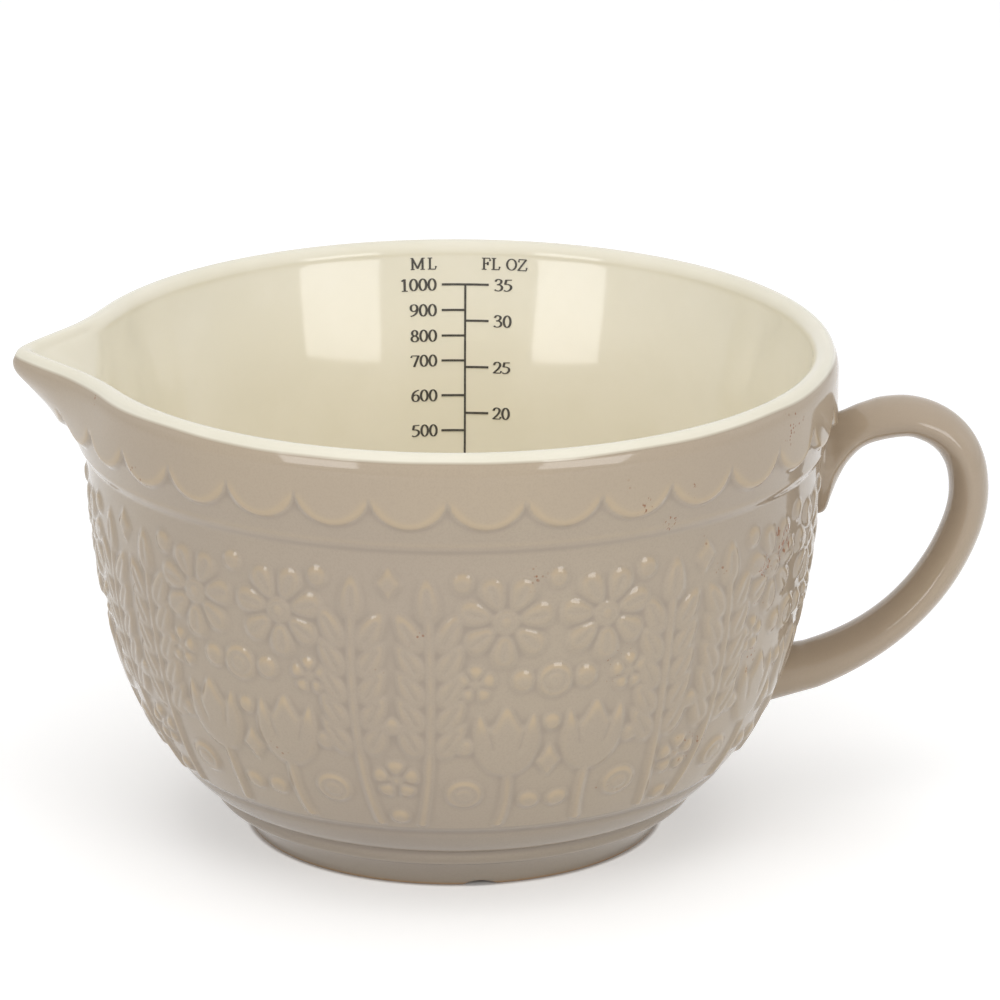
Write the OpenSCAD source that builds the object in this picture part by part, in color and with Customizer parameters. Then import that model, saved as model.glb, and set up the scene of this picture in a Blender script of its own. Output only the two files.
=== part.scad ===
// Batter bowl: a glazed stoneware mixing bowl with a pulled pouring lip, a loop handle and a measuring
// scale on its inner wall. Millimetres, +Z up. The origin is the centre of the foot, on the table.
// The handle points along +X and the pouring lip along -X.

/* [Bowl] */
// Height from the table to the crest of the rim
bowl_h = 100; // [92:0.5:120]
// Outer radius of the rim and of the collar below it
rim_r = 76.8; // [74:0.1:90]
// Thickness of the rounded rim
rim_t = 5.2; // [4.4:0.1:7]
// Thickness of the side wall, glaze included
wall_t = 5.1; // [4:0.1:7]
// Height of the inner floor above the table
floor_z = 9.5; // [7:0.1:13]
// Radius of the flat middle of the inner floor
floor_r = 18; // [10:0.5:26]
// Thickness of the cream glaze inside
glaze_t = 0.5; // [0.3:0.05:0.9]
// Where the cream glaze ends on the rim's round, in degrees up from its outer side
glaze_edge = 38; // [20:1:60]

/* [Collar] */
// Depth from the rim's crest to the collar's lower edge
collar_h = 19.4; // [17:0.1:24]
// Depth from the rim's crest to the lower edge of the raised border
border_h = 13; // [10:0.1:15.8]
// How far the border stands out from the plain band below it
border_step = 0.7; // [0.3:0.05:1.2]
// How far the plain band draws in from its upper to its lower edge
band_taper = 1.4; // [0.5:0.1:2.5]
// How far the collar's lower edge stands out from the wall
collar_step = 0.9; // [0.4:0.1:2]

/* [Wall] */
// Radius of the wall where it meets the base mouldings
wall_foot_r = 56.7; // [53:0.1:60]
// Lean of the wall just below the collar, in degrees from upright
wall_lean = 11; // [4:0.5:16]
// Length of the wall's lead below the collar
wall_lead = 6; // [3:0.5:12]
// Radius of the point that draws the belly's curve out
belly_r = 73.4; // [70:0.1:80]
// Height of the point that draws the belly's curve out
belly_z = 37.1; // [33:0.1:45]

/* [Foot] */
// Radius of the foot at the table
foot_r = 41.6; // [38:0.1:44]
// Width of the foot ring at the table
foot_w = 5.5; // [4:0.1:8]
// Height of the foot up to its bead
foot_h = 6.1; // [5:0.1:7.5]
// How far the foot flares out from the table to its bead
foot_flare = 4.3; // [3:0.1:5]
// Height of the bead above the foot
bead_h = 3.6; // [2.5:0.1:4.5]
// How far the bead spreads from its lower to its upper edge
bead_run = 3.4; // [2.5:0.1:4.5]
// Height of the band moulding above the bead
band_h = 6.9; // [5:0.1:8]
// Height of the recess under the base
recess_h = 2.8; // [1.5:0.1:3.5]
// Number of drain notches in the foot ring
notch_count = 3; // [2:1:4]
// Width of a drain notch at the table
notch_w = 6.6; // [4:0.1:9]
// Height of a drain notch
notch_h = 1; // [0.6:0.1:1.6]
// Direction of the first drain notch, in degrees from the handle
notch_angle = -86; // [-120:1:-60]

/* [Pouring lip] */
// How far the lip's tip reaches past the rim
lip_out = 11.3; // [7:0.1:14]
// Half the angle between the lip's two sides
lip_half_angle = 55; // [50:0.5:58]
// Thickness of the lip's sloping underside
lip_t = 4; // [3:0.1:5]
// Depth from the rim's crest to where the lip's underside leaves the collar
lip_depth = 16.1; // [14:0.1:18]
// How far the lip's underside comes out for each millimetre up
lip_slope = 0.93; // [0.8:0.01:1.1]

/* [Handle] */
// Thickness of the handle, in the plane of its loop
handle_t = 7.7; // [6:0.1:9]
// Width of the handle, across the loop
handle_w = 14; // [10:0.1:17]
// How far the middle of the handle reaches out past the rim
handle_reach = 27.3; // [24:0.1:36]
// Height of the middle of the handle where it is farthest out
handle_side_z = 67.4; // [62:0.1:72]
// Depth from the rim's crest to the middle of the handle's upper end
handle_drop = 24.5; // [23:0.1:27]
// Height of the middle of the handle's lower end
handle_low_z = 27.9; // [26:0.1:32]
// Extra thickness of the handle at its lower end
handle_flare = 3.4; // [1:0.1:5]
// Length of the tail that runs down the wall below the handle's upper end
tail_l = 12.5; // [9:0.1:16]
// Thickness of the handle's tail at its tip
tail_t = 2.6; // [2:0.1:4]
// Width of the handle's tail at its tip
tail_w = 6.5; // [4:0.1:10]
// Thickness of the slip that joins the handle to the bowl
slip_t = 0.5; // [0.3:0.05:0.8]
// How far the slip shows past the handle all round
slip_bead = 0.6; // [0.3:0.05:1]

/* [Measuring scale] */
// Direction of the scale's upright line, in degrees from the handle
scale_angle = 85; // [60:1:120]
// Depth from the rim's crest to the top marks
scale_drop = 8.7; // [8:0.1:12]
// Spacing of the upper marks, 100 millilitres apart
ml_step_top = 5.3; // [4.5:0.05:6]
// Spacing of the marks from 700 millilitres down
ml_step_low = 7.45; // [6.5:0.05:7.6]
// Spacing of the two upper marks that are 5 fluid ounces apart
oz_step_top = 7.5; // [6.5:0.05:8.5]
// Spacing of the marks from 30 fluid ounces down
oz_step_low = 9.8; // [8.5:0.05:10]
// Length of a tick
tick_l = 4.7; // [3:0.1:8]
// Width of the printed lines
ink_w = 0.45; // [0.3:0.05:0.8]
// Thickness of the fired ink
ink_t = 0.1; // [0.06:0.01:0.2]

/* [Hidden] */
$fn = 180;
taupe = [0.71, 0.66, 0.58];
cream = [0.92, 0.89, 0.80];
clay = [0.66, 0.60, 0.52];
ink = [0.16, 0.15, 0.14];

// Small roundings and the bulge of each moulding
foot_edge = 0.5;
recess_draft = 1.5;
foot_hollow = -0.5;
bead_bulge = 1.1;
band_bulge = 0.7;
step_run = 0.6;

// Steps along each curve
moulding_steps = 4;
wall_steps = 14;
rim_steps = 8;
floor_steps = 6;

// Heights and radii that follow from the sizes above
rim_c = [rim_r - rim_t / 2, bowl_h - rim_t / 2];
collar_z = bowl_h - collar_h;
border_z = bowl_h - border_h;
band_top_r = rim_r - border_step;
band_low_r = band_top_r - band_taper;
wall_top_r = band_low_r - collar_step;
bead_z = foot_h + bead_h;
bead_r = foot_r + foot_flare + bead_run;
wall_foot_z = bead_z + band_h;

// Curves
function bezier3(p, t) =
    pow(1 - t, 3) * p[0] + 3 * pow(1 - t, 2) * t * p[1] + 3 * (1 - t) * t * t * p[2] + pow(t, 3) * p[3];
function slope3(p, t) =
    pow(1 - t, 2) * (p[1] - p[0]) + 2 * (1 - t) * t * (p[2] - p[1]) + t * t * (p[3] - p[2]);
function bezier2(a, c, b, t) = pow(1 - t, 2) * a + 2 * (1 - t) * t * c + t * t * b;
function unit(v) = v / norm(v);

// A moulding from a to b that swells to the right of its direction of travel, without its last point
function moulding(a, b, swell) =
    let (side = unit([b[1] - a[1], a[0] - b[0]]), c = (a + b) / 2 + 2 * swell * side)
    [for (i = [0 : moulding_steps - 1]) bezier2(a, c, b, i / moulding_steps)];

// The side wall, from the base mouldings up to the collar
wall_curve = [
    [wall_foot_r, wall_foot_z],
    [belly_r, belly_z],
    [wall_top_r - wall_lead * sin(wall_lean), collar_z - wall_lead * cos(wall_lean)],
    [wall_top_r, collar_z]
];
function inside_wall(t, depth) =
    let (d = unit(slope3(wall_curve, t)))
    bezier3(wall_curve, t) - depth * [d[1], -d[0]];

// The outside of the bowl, from the table up to the lower edge of the border
outer_points = concat(
    [[foot_r - foot_w, 0], [foot_r - foot_edge, 0]],
    moulding([foot_r, foot_edge], [foot_r + foot_flare, foot_h], foot_hollow),
    moulding([foot_r + foot_flare, foot_h], [bead_r, bead_z], bead_bulge),
    moulding([bead_r, bead_z], [wall_foot_r, wall_foot_z], band_bulge),
    [for (i = [0 : wall_steps]) bezier3(wall_curve, i / wall_steps)],
    [[band_low_r, collar_z + step_run], [band_top_r, border_z]],
    [[rim_r, border_z + step_run]]
);

// The rim's round, from one angle to another, at a depth below its surface
function rim_round(depth, a0, a1) =
    [for (i = [0 : rim_steps])
        let (a = a0 + (a1 - a0) * i / rim_steps)
        rim_c + (rim_t / 2 - depth) * [cos(a), sin(a)]];

// The inside of the bowl from below the rim to the floor, at a depth below the glazed surface
function inner_points(depth) =
    let (
        low = inside_wall(0, wall_t - depth),
        dir = slope3(wall_curve, 0),
        floor_edge = [floor_r, floor_z - depth],
        bend = [low[0] - dir[0] / dir[1] * (low[1] - floor_edge[1]), floor_edge[1]]
    )
    concat(
        [for (i = [wall_steps : -1 : 1]) inside_wall(i / wall_steps, wall_t - depth)],
        [for (i = [0 : floor_steps]) bezier2(low, bend, floor_edge, i / floor_steps)]
    );

function reversed(points) = [for (i = [len(points) - 1 : -1 : 0]) points[i]];
body_section = concat(
    [[0, recess_h], [foot_r - foot_w - recess_draft, recess_h]],
    outer_points,
    rim_round(0, 0, glaze_edge),
    rim_round(glaze_t, glaze_edge, 180),
    inner_points(glaze_t),
    [[0, floor_z - glaze_t]]
);
glaze_section = concat(
    [[0, floor_z - glaze_t]],
    reversed(concat(rim_round(glaze_t, glaze_edge, 180), inner_points(glaze_t))),
    rim_round(0, glaze_edge, 180),
    inner_points(0),
    [[0, floor_z]]
);

// The space inside the bowl at a depth below the glazed surface, carried up past the rim
above_rim = 20;
module hollow(depth) {
    rim_in = rim_c[0] - rim_t / 2 + depth;
    rotate_extrude()
        polygon(concat(
            [[0, bowl_h + above_rim], [rim_in, bowl_h + above_rim], [rim_in, rim_c[1]]],
            inner_points(depth),
            [[0, floor_z - depth]]
        ));
}

// The pouring lip is a V in plan with a rounded tip. One prism stands upright and gives the lip's edge,
// and one leans outwards and gives its underside. Both shrink by a depth for the channel inside.
lip_lean = atan(lip_slope);
lean_half_angle = atan(tan(lip_half_angle) / cos(lip_lean));
lip_round = 4;
lip_round_steps = 6;
lip_back = 30;
lip_lean_l = 90;
module lip_plan(half_angle, depth) {
    tip = -depth / sin(half_angle);
    centre = tip - lip_round / sin(half_angle);
    turn = 90 - half_angle;
    polygon(concat(
        [[tip - lip_back, -lip_back * tan(half_angle)]],
        [for (i = [-lip_round_steps : lip_round_steps])
            [centre, 0] + lip_round * [cos(turn * i / lip_round_steps), sin(turn * i / lip_round_steps)]],
        [[tip - lip_back, lip_back * tan(half_angle)]]
    ));
}

lip_tip_r = rim_r + lip_out + lip_round / sin(lip_half_angle) - lip_round;
module lip_prisms(edge_depth, under_depth, top_z) {
    mirror([1, 0, 0])
        intersection() {
            translate([lip_tip_r, 0, collar_z])
                linear_extrude(top_z - collar_z)
                    lip_plan(lip_half_angle, edge_depth);
            translate([rim_r, 0, bowl_h - lip_depth])
                rotate([0, lip_lean, 0])
                    translate([0, 0, -lip_back])
                        linear_extrude(lip_lean_l)
                            lip_plan(lean_half_angle, under_depth);
        }
}

module lip_shell(top_z) {
    difference() {
        lip_prisms(0, 0, top_z);
        hollow(glaze_t);
    }
}

module lip_channel(depth) {
    lip_prisms(rim_t - depth, lip_t - depth, bowl_h + above_rim);
}

// A drain notch is a shallow round groove across the foot ring
notch_r = (pow(notch_w / 2, 2) + pow(notch_h, 2)) / (2 * notch_h);
module drain_notches() {
    for (i = [0 : notch_count - 1])
        rotate([0, 0, notch_angle + i * 360 / notch_count])
            translate([foot_r - foot_w - recess_draft, 0, notch_h - notch_r])
                rotate([0, 90, 0])
                    cylinder(r = notch_r, h = foot_w + foot_flare + recess_draft);
}

module bowl_body() {
    color(taupe)
        difference() {
            union() {
                rotate_extrude()
                    polygon(body_section);
                lip_shell(bowl_h - glaze_t);
            }
            lip_channel(0);
            drain_notches();
        }
}

// The cream glaze on the lip: a cap over its edge and a lining for its channel
module lip_glaze() {
    difference() {
        union() {
            difference() {
                lip_prisms(0, 0, bowl_h);
                lip_shell(bowl_h - glaze_t);
            }
            lip_prisms(rim_t, lip_t, bowl_h);
        }
        lip_channel(-glaze_t);
        hollow(0);
    }
}

module inner_glaze() {
    color(cream) {
        difference() {
            rotate_extrude()
                polygon(glaze_section);
            lip_channel(0);
            lip_shell(bowl_h);
        }
        lip_glaze();
    }
}

// The handle's middle line: up and out from the collar, then down and in to the wall
wall_table = [for (p = outer_points) [p[1], p[0]]];
function wall_r(z) = lookup(z, wall_table);
handle_top_z = bowl_h - handle_drop;
handle_out_r = rim_r + handle_reach;
handle_seat = 1;
handle_up = 46;
handle_up_lead = 17.5;
handle_shoulder = 17.8;
handle_side_lead = 14.7;
handle_low_lead = 28.5;
handle_low_lean = 5;
handle_low_end = [wall_r(handle_low_z - (handle_t + handle_flare) / 2) - handle_seat, handle_low_z];
handle_top_end = [wall_r(handle_top_z) - handle_seat, handle_top_z];
upper_curve = [
    handle_top_end,
    handle_top_end + handle_up_lead * [cos(handle_up), sin(handle_up)],
    [handle_out_r, handle_side_z + handle_shoulder],
    [handle_out_r, handle_side_z]
];
lower_curve = [
    [handle_out_r, handle_side_z],
    [handle_out_r, handle_side_z - handle_side_lead],
    handle_low_end + handle_low_lead * [cos(handle_low_lean), sin(handle_low_lean)],
    handle_low_end
];
function handle_at(t) = t < 1 ? bezier3(upper_curve, t) : bezier3(lower_curve, t - 1);
function handle_heading(t) = unit(t < 1 ? slope3(upper_curve, t) : slope3(lower_curve, t - 1));

// The handle swells over the last part of its run to its lower end
flare_from = 1.5;
function flare(t) = pow(max(t - flare_from, 0) / (2 - flare_from), 2);

// The tail leaves the handle's underside and dies away down the wall
tail_leaves = 0.15;
tail_from = handle_at(tail_leaves);
tail_to = [wall_r(handle_top_z - tail_l), handle_top_z - tail_l];

// An oval ring square to a heading in the plane of the handle
ring_sides = 20;
function ring(c, heading, half_t, half_w) =
    [for (k = [0 : ring_sides - 1])
        let (a = 360 * k / ring_sides, out = half_t * cos(a))
        [c[0] + out * heading[1], half_w * sin(a), c[1] - out * heading[0]]];

// A closed tube through rings of points
module tube(rings) {
    n = ring_sides;
    last = len(rings) - 1;
    sides = [for (j = [0 : last - 1]) for (k = [0 : n - 1])
        let (a = j * n + k, b = j * n + (k + 1) % n)
        each [[a, b + n, b], [a, a + n, b + n]]];
    ends = [
        [for (k = [0 : n - 1]) k],
        [for (k = [n - 1 : -1 : 0]) last * n + k]
    ];
    polyhedron([for (r = rings) each r], concat(sides, ends));
}

ring_step = 1 / 24;
module handle_run(t0, t1, grow) {
    tube([for (t = [t0 : ring_step : t1 + ring_step / 2])
        ring(
            handle_at(t), handle_heading(t),
            (handle_t + handle_flare * flare(t)) / 2 + grow, handle_w / 2 + grow
        )]);
}

tail_steps = 3;
module handle_tail(grow) {
    tube([for (i = [0 : tail_steps])
        let (t = i / tail_steps)
        ring(
            tail_from + (tail_to - tail_from) * t, unit(tail_to - tail_from),
            (handle_t + (tail_t - handle_t) * t) / 2 + grow, (handle_w + (tail_w - handle_w) * t) / 2 + grow
        )]);
}

// The solid inside the bowl's outer face near the handle, grown outwards
seat_half_angle = 30;
module inside_of_bowl(grow) {
    rotate_extrude(angle = 2 * seat_half_angle, start = -seat_half_angle)
        polygon(concat(
            [[0, 0]],
            [for (p = outer_points) [p[0] + grow, p[1]]],
            [[rim_r + grow, rim_c[1]], [0, rim_c[1]]]
        ));
}

module slip_layer() {
    difference() {
        inside_of_bowl(slip_t);
        inside_of_bowl(0);
    }
}

module handle() {
    color(taupe)
        difference() {
            union() {
                handle_run(0, 2, 0);
                handle_tail(0);
            }
            inside_of_bowl(slip_t);
        }
}

upper_joint_to = 0.5;
module upper_slip_joint() {
    color(clay)
        intersection() {
            slip_layer();
            union() {
                handle_run(0, upper_joint_to, slip_bead);
                handle_tail(slip_bead);
            }
        }
}

lower_joint_from = 1.5;
module lower_slip_joint() {
    color(clay)
        intersection() {
            slip_layer();
            handle_run(lower_joint_from, 2, slip_bead);
        }
}

// The measuring scale: marks at heights on the inner wall, counted from the top
throat_table = [for (p = concat([rim_c - [rim_t / 2, 0]], inner_points(0))) [p[1], p[0]]];
function inner_r(z) = lookup(z, throat_table);
scale_top = bowl_h - scale_drop;
ml_count = 10;
ml_upper = 3;
oz_count = 7;
oz_upper = 1;
function mark_z(i, upper, step_top, step_low) =
    scale_top - step_top * min(i, upper) - step_low * max(i - upper, 0);
function ml_z(i) = mark_z(i, ml_upper, ml_step_top, ml_step_low);
function oz_z(i) = mark_z(i, oz_upper, oz_step_top, oz_step_low);
line_half_angle = asin(ink_w / 2 / inner_r(scale_top));

// A fired line on the inner wall between two heights, over an angle to one side of a direction
module fired_line(z0, z1, steps, start, sweep) {
    wall = [for (i = [0 : steps]) let (z = z0 + (z1 - z0) * i / steps) [inner_r(z), z]];
    rotate_extrude(angle = sweep, start = start)
        polygon(concat(wall, reversed([for (p = wall) p - [ink_t, 0]])));
}

module tick(z, side) {
    sweep = tick_l / inner_r(z) * 180 / PI;
    start = scale_angle + (side > 0 ? line_half_angle : -line_half_angle - sweep);
    fired_line(z - ink_w / 2, z + ink_w / 2, 1, start, sweep);
}

line_steps = 24;
module scale_line() {
    color(ink)
        fired_line(
            ml_z(ml_count - 1) - ink_w / 2, scale_top + ink_w / 2, line_steps,
            scale_angle - line_half_angle, 2 * line_half_angle
        );
}

module millilitre_ticks() {
    color(ink)
        for (i = [0 : ml_count - 1])
            tick(ml_z(i), 1);
}

module fluid_ounce_ticks() {
    color(ink)
        for (i = [0 : oz_count - 1])
            tick(oz_z(i), -1);
}

bowl_body();
inner_glaze();
handle();
upper_slip_joint();
lower_slip_joint();
scale_line();
millilitre_ticks();
fluid_ounce_ticks();
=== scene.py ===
from math import atan2, cos, hypot, pi, radians, sin, sqrt

import bpy
import numpy as np
from mathutils import Matrix, Vector


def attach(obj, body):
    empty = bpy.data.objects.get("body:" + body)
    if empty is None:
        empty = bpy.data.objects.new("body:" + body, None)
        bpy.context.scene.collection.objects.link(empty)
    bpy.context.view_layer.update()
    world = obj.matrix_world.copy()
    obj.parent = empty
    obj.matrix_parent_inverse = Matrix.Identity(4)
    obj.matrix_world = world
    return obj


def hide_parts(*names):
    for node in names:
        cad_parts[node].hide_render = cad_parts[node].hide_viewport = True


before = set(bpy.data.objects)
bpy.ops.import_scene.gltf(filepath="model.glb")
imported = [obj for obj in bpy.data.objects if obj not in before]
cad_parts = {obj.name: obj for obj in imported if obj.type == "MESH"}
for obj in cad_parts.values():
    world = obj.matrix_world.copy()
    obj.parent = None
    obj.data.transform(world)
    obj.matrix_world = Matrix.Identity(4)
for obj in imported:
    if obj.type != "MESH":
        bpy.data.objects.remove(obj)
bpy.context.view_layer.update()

MM = 0.001

# Sizes of the bowl, in millimetres, with points of its outline as (radius, height)

BOWL_H = 100.0
RIM_R = 76.79
RIM_T = 5.2
RIM_Z = BOWL_H - RIM_T / 2
WALL_T = 5.1
FLOOR_Z = 9.5
FLOOR_R = 18.0
THROAT_DEPTH = 8.0
THROAT_DRAW = 1.4
COLLAR_Z = 80.6
COLLAR_LOW = 79.0
COLLAR_RUN = 2.7
BAND_LOW_R = 74.7
BAND_LOW_Z = COLLAR_Z + 0.6
BAND_TOP_R = 76.1
BAND_TOP_Z = 87.0
BAND_SOFT = 1.5
WALL_LOW = (56.7, 16.6)
WALL_BELLY = (73.4, 37.1)
WALL_TOP_R = 73.8
WALL_LEAN = radians(11)
WALL_LEAD = 6.0
WALL = np.array([
    WALL_LOW,
    WALL_BELLY,
    (WALL_TOP_R - WALL_LEAD * sin(WALL_LEAN), COLLAR_Z - WALL_LEAD * cos(WALL_LEAN)),
    (WALL_TOP_R, COLLAR_Z),
])
FOOT_R = 41.6
GLAZE_EDGE = radians(23.5)
RIM_ROUND = 8.0
RIM_TURN = radians(30)
CREST_ROUND = (RIM_T / 2 - RIM_ROUND * (1 - cos(RIM_TURN))) / cos(RIM_TURN)
RIM_LOW = BOWL_H - RIM_ROUND * sin(RIM_TURN) - CREST_ROUND * (1 - sin(RIM_TURN))


# Curves and smooth steps

def span(n):
    return np.linspace(0, 1, n)


def bezier3(p, t):
    t = np.asarray(t, float)[..., None]
    return (1 - t) ** 3 * p[0] + 3 * (1 - t) ** 2 * t * p[1] + 3 * (1 - t) * t * t * p[2] + t ** 3 * p[3]


def slope3(p, t):
    """Direction of a bezier3 curve, at a third of its speed."""
    t = np.asarray(t, float)[..., None]
    return (1 - t) ** 2 * (p[1] - p[0]) + 2 * (1 - t) * t * (p[2] - p[1]) + t * t * (p[3] - p[2])


def bezier2(a, bend, b, n):
    t = span(n)[:, None]
    return (1 - t) ** 2 * np.array(a) + 2 * (1 - t) * t * np.array(bend) + t * t * np.array(b)


def unit(v):
    return v / np.linalg.norm(v, axis=-1, keepdims=True)


def step(x):
    x = np.clip(x, 0, 1)
    return x * x * (3 - 2 * x)


def rise(x, ramp):
    """A smooth step of x up a ramp, which is a pair of the start and the run."""
    start, run = ramp
    return step((x - start) / run)


def smooth_max(a, k):
    """The larger of a and 0, rounded off within k of 0."""
    return np.maximum(a, 0) + np.maximum(k - np.abs(a), 0) ** 2 / (4 * k)


def run_length(points):
    """Length along a polyline up to each of its points."""
    return np.concatenate([[0], np.cumsum(np.linalg.norm(np.diff(points, axis=0), axis=1))])


def even(points, n):
    """n points at even spacing along a polyline."""
    points = np.asarray(points, float)
    length = run_length(points)
    at = np.linspace(0, length[-1], n)
    return np.stack([np.interp(at, length, points[:, i]) for i in range(points.shape[1])], -1)


def spline(points, per):
    """A smooth curve through points, with a number of steps for each span."""
    p = np.asarray(points, float)
    if p.ndim == 1:
        p = p[:, None]
    p = np.concatenate([2 * p[:1] - p[1:2], p, 2 * p[-1:] - p[-2:-1]])
    t = np.linspace(0, 1, per, endpoint=False)[:, None]
    out = []
    for a, b, c, d in zip(p[:-3], p[1:-2], p[2:-1], p[3:]):
        square = (2 * a - 5 * b + 4 * c - d) * t ** 2
        cube = (3 * b - a - 3 * c + d) * t ** 3
        out.append(0.5 * (2 * b + (c - a) * t + square + cube))
    out.append(p[-2:-1])
    return np.concatenate(out)


def smoothed(rows):
    """Rows averaged once with their neighbours, the first and last kept."""
    out = rows.copy()
    out[1:-1] = (rows[:-2] + 2 * rows[1:-1] + rows[2:]) / 4
    return out


def wrap(angle):
    return (angle + pi) % (2 * pi) - pi


def circle(n):
    return np.linspace(-pi, pi, n, endpoint=False)


def ripple(az, seed, terms):
    """A smooth random wave round the bowl, about -1 to 1."""
    rng = np.random.default_rng(seed)
    out = np.zeros_like(az)
    for k in range(2, 2 + terms):
        out += rng.normal() * np.cos(k * az + rng.uniform(0, 2 * pi)) / sqrt(terms)
    return out


# The pouring lip: its shape from above as a share of its reach, and its reach at each height

LIP_AZ = pi
LIP_OUT = 11.3
LIP_SPAN = radians(16.4)
LIP_SOFT = radians(6.5)
LIP_ROUND = radians(1.6)
LIP_TIP = 1 + LIP_OUT / RIM_R
LIP_RISE = 0.93
LIP_LOW_Z = 83.9
LIP_LOW_SOFT = 6.0
LIP_TOP_SOFT = 2.0


def lip_flank(d):
    """A straight flank from the rim's circle, eased into it, to the lip's round tip."""
    x = LIP_SPAN - smooth_max(LIP_SPAN - np.sqrt(d * d + LIP_ROUND ** 2), LIP_SOFT)
    return LIP_TIP * sin(LIP_SPAN) / (np.sin(LIP_SPAN - x) + LIP_TIP * np.sin(x)) - 1


def lip_plan(az):
    d = wrap(np.asarray(az, float) - LIP_AZ)
    return np.maximum(lip_flank(d), 0) / lip_flank(np.zeros(1))[0]


def lip_reach(z):
    climb = smooth_max(LIP_RISE * (np.asarray(z, float) - LIP_LOW_Z), LIP_LOW_SOFT)
    return LIP_OUT - smooth_max(LIP_OUT - climb, LIP_TOP_SOFT)


# The outside

WALL_LINE = bezier3(WALL, span(1500))
WALL_ALONG = run_length(WALL_LINE)
SCALLOPS = 32
SCALLOP_AZ = radians(1.75)
SCALLOP_R = 8.4
SCALLOP_LOW = 85.2
SCALLOP_SOFT = 0.75


def wall_point(s):
    """Points of the wall's line at lengths s along it."""
    return np.stack([np.interp(s, WALL_ALONG, WALL_LINE[:, i]) for i in (0, 1)], -1)


def wall_r(z):
    return np.interp(z, WALL_LINE[:, 1], WALL_LINE[:, 0])


def band_r(z):
    """Radius of the collar's plain band, which flares up to the border."""
    slope = (BAND_TOP_R - BAND_LOW_R) / (BAND_TOP_Z - BAND_LOW_Z)
    return np.minimum(BAND_LOW_R + slope * smooth_max(z - BAND_LOW_Z, BAND_SOFT), BAND_TOP_R)


def outside_r(z):
    """Radius of the plain outside of the wall and collar at a height."""
    return np.where(z < COLLAR_Z, wall_r(z), band_r(z))


def step_r(z):
    """Radius where the wall steps out softly to the collar's plain band."""
    return wall_r(z) + (band_r(z) - wall_r(z)) * step((z - COLLAR_LOW) / COLLAR_RUN)


def scallop(az, z):
    """Distance inside the scalloped edge of the border, positive above it."""
    pitch = 2 * pi / SCALLOPS
    u = RIM_R * ((az - SCALLOP_AZ + pitch / 2) % pitch - pitch / 2)
    return SCALLOP_R - np.hypot(u, np.minimum(z - SCALLOP_LOW - SCALLOP_R, 0))


def collar_r(az, z):
    """Radius of the collar with its border, and how far each point lies in the border, 0 to 1."""
    edge = step((scallop(az, z) + SCALLOP_SOFT) / (2 * SCALLOP_SOFT))
    plain = band_r(z)
    return plain + (RIM_R - plain) * edge, edge


def rim_outside(a):
    """Radius and height on the rim's outer side where it leans back by the angle a."""
    low = np.minimum(a, RIM_TURN)
    high = np.maximum(a, RIM_TURN)
    r = RIM_R - RIM_ROUND * (1 - np.cos(low)) - CREST_ROUND * (cos(RIM_TURN) - np.cos(high))
    return r, RIM_LOW + RIM_ROUND * np.sin(low) + CREST_ROUND * (np.sin(high) - sin(RIM_TURN))


# The inside

def inside_wall(t):
    """Points on the inner side of the wall, square to the wall's line at t."""
    d = unit(slope3(WALL, t))
    return bezier3(WALL, t) - WALL_T * np.stack([d[..., 1], -d[..., 0]], -1)


def inside_points():
    """The inside from the rim through the throat, down the wall and over the bend to the floor."""
    low = inside_wall(np.array(0.0))
    d = slope3(WALL, np.array(0.0))
    bend = (low[0] - d[0] / d[1] * (low[1] - FLOOR_Z), FLOOR_Z)
    wall = inside_wall(np.linspace(1, 0, 200))
    top_r = RIM_R - RIM_T
    throat = bezier2((top_r, RIM_Z), (top_r - THROAT_DRAW, RIM_Z - THROAT_DEPTH), wall[0], 40)
    return np.concatenate([throat, wall[1:], bezier2(low, bend, (FLOOR_R, FLOOR_Z), 120)[1:]])


INSIDE = inside_points()


def inner_r(z):
    return np.interp(z, INSIDE[::-1, 1], INSIDE[::-1, 0])


# Meshes

def linked(name, data):
    obj = bpy.data.objects.new(name, data)
    bpy.context.scene.collection.objects.link(obj)
    return obj


def new_object(name, verts, faces, smooth=True):
    mesh = bpy.data.meshes.new(name)
    mesh.from_pydata((np.asarray(verts, float) * MM).tolist(), [], faces)
    mesh.update()
    if smooth:
        mesh.polygons.foreach_set("use_smooth", [True] * len(mesh.polygons))
    return linked(name, mesh)


def grid_faces(rows, cols, closed):
    last = cols if closed else cols - 1
    i, j = np.meshgrid(np.arange(rows - 1), np.arange(last), indexing="ij")
    k = (j + 1) % cols
    quads = np.stack([i * cols + j, i * cols + k, (i + 1) * cols + k, (i + 1) * cols + j], -1)
    return quads.reshape(-1, 4).tolist()


def grid_object(name, verts, closed=True):
    """An object from a grid of points, rows upward and columns round the bowl."""
    rows, cols = verts.shape[:2]
    return new_object(name, verts.reshape(-1, 3), grid_faces(rows, cols, closed))


def grid_normals(verts):
    """Outward normals of a closed grid of points."""
    around = np.roll(verts, -1, 1) - np.roll(verts, 1, 1)
    upward = np.gradient(verts, axis=0)
    return unit(np.cross(around, upward))


def set_normals(obj, normals):
    obj.data.normals_split_custom_set_from_vertices(normals.reshape(-1, 3).tolist())


def add_value(obj, name, values):
    attr = obj.data.attributes.new(name, "FLOAT", "POINT")
    attr.data.foreach_set("value", np.asarray(values, np.float32).ravel())


def turn(r, z, az):
    return np.stack([r * np.cos(az), r * np.sin(az), z + 0 * r], -1)


# The moulded relief on the wall: wheat ears, daisies, tulips and small blossoms in repeating panels

PANELS = 14
PANEL_START = radians(-90)
PANEL_REACH = 0.62
RELIEF_H = 0.82
EDGE_SOFT = 0.72
FLAT_SHARE = 0.82
DOME_RUN = 2.2
CARVE_RUN = 0.7
CUT_HALF = 0.5
CUT_SOFT = 0.45
CUT_DEPTH = 0.42
STEM_HALF = 0.9


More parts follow.
